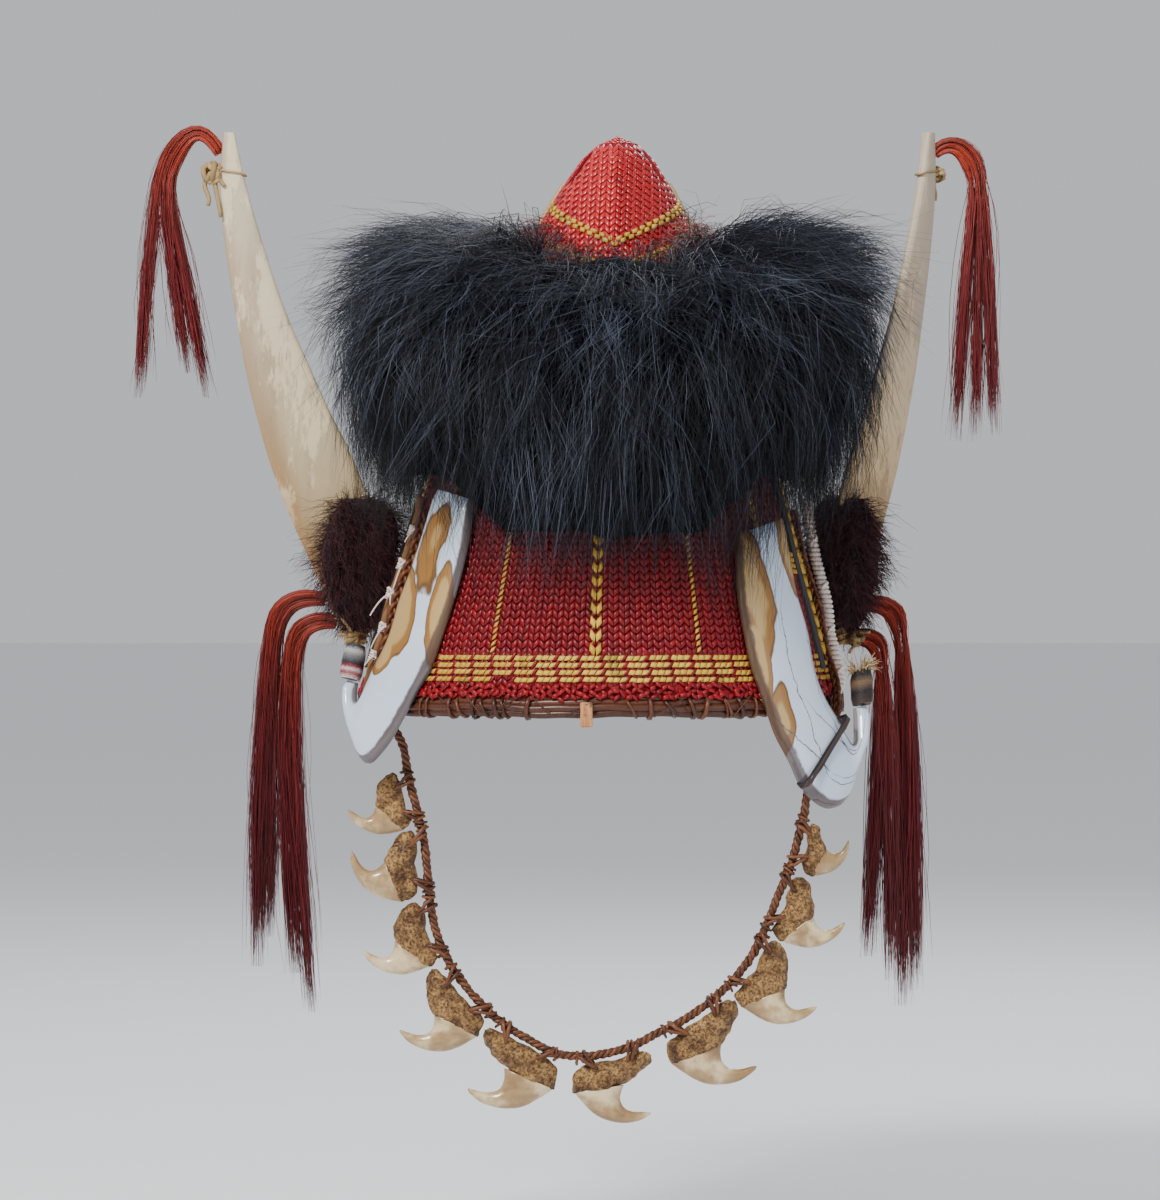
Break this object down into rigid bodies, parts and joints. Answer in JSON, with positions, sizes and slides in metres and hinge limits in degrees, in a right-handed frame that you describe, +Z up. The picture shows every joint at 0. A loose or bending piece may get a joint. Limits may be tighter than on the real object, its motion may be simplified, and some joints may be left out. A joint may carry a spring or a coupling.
{
  "type": "rattan headdress",
  "caption": "Tall conical cap of red woven cane with a black fur ruff, flat horn plates, red hair tassels, white shell plates and a chin strap of claws.",
  "frame": {"origin": "centre of the cap's rim opening, level with the underside of the rim hoop, where it sits on a head", "axes": "+Z up, the front faces -Y, +X to the right as seen from the front"},
  "size_m": [0.3878, 0.2963, 0.4471],
  "materials": {
    "red_cane": "red-dyed split cane, herringbone weave, lightly polished",
    "dark_cane": "dark brown wrapped cane",
    "peg_wood": "bare brown wood",
    "cream_cane": "pale cane wound with string",
    "black_fur": "long black fur with a blue-grey sheen",
    "brown_fur": "short dark brown fur",
    "horn_ivory": "polished ivory-coloured horn",
    "twine": "tan plant-fibre twine",
    "red_hair": "long dyed red hair",
    "white_shell": "glossy white shell with ochre patches",
    "black_thread": "dark thread and fibre",
    "chin_cane": "brown plaited cane",
    "claw_bone": "mottled tan bone",
    "claw_horn": "glossy cream to amber claw"
  },
  "bodies": {
    "root": {"cap_shell": "red_cane", "rim_hoop": "dark_cane", "side_stave_left": "dark_cane", "side_stave_right": "dark_cane", "rim_peg": "peg_wood", "crown_rib_left": "cream_cane", "crown_rib_right": "cream_cane", "side_stick_right": "cream_cane", "fur_ruff": "black_fur", "horn_sleeve_left": "brown_fur", "horn_sleeve_right": "brown_fur", "horn_left": "horn_ivory", "horn_right": "horn_ivory", "tip_knot_left": "twine", "tip_knot_right": "twine", "base_knot_left": "twine", "base_knot_right": "twine", "tip_tassel_left": "red_hair", "tip_tassel_right": "red_hair", "side_tassel_left_upper": "red_hair", "side_tassel_left_lower": "red_hair", "side_tassel_right_upper": "red_hair", "side_tassel_right_lower": "red_hair", "shell_plate_left": "white_shell", "shell_plate_right": "white_shell", "plate_binding_left": "black_thread", "plate_binding_right": "black_thread", "plate_strap_right": "black_thread", "side_stick_left": "chin_cane", "side_braid_left": "chin_cane", "side_braid_right": "chin_cane", "chin_cord": "chin_cane", "claw_bone_01": "claw_bone", "claw_bone_02": "claw_bone", "claw_bone_03": "claw_bone", "claw_bone_04": "claw_bone", "claw_bone_05": "claw_bone", "claw_bone_06": "claw_bone", "claw_bone_07": "claw_bone", "claw_bone_08": "claw_bone", "claw_bone_09": "claw_bone", "claw_bone_10": "claw_bone", "claw_sheath_01": "claw_horn", "claw_sheath_02": "claw_horn", "claw_sheath_03": "claw_horn", "claw_sheath_04": "claw_horn", "claw_sheath_05": "claw_horn", "claw_sheath_06": "claw_horn", "claw_sheath_07": "claw_horn", "claw_sheath_08": "claw_horn", "claw_sheath_09": "claw_horn", "claw_sheath_10": "claw_horn"}
  },
  "joints": []
}
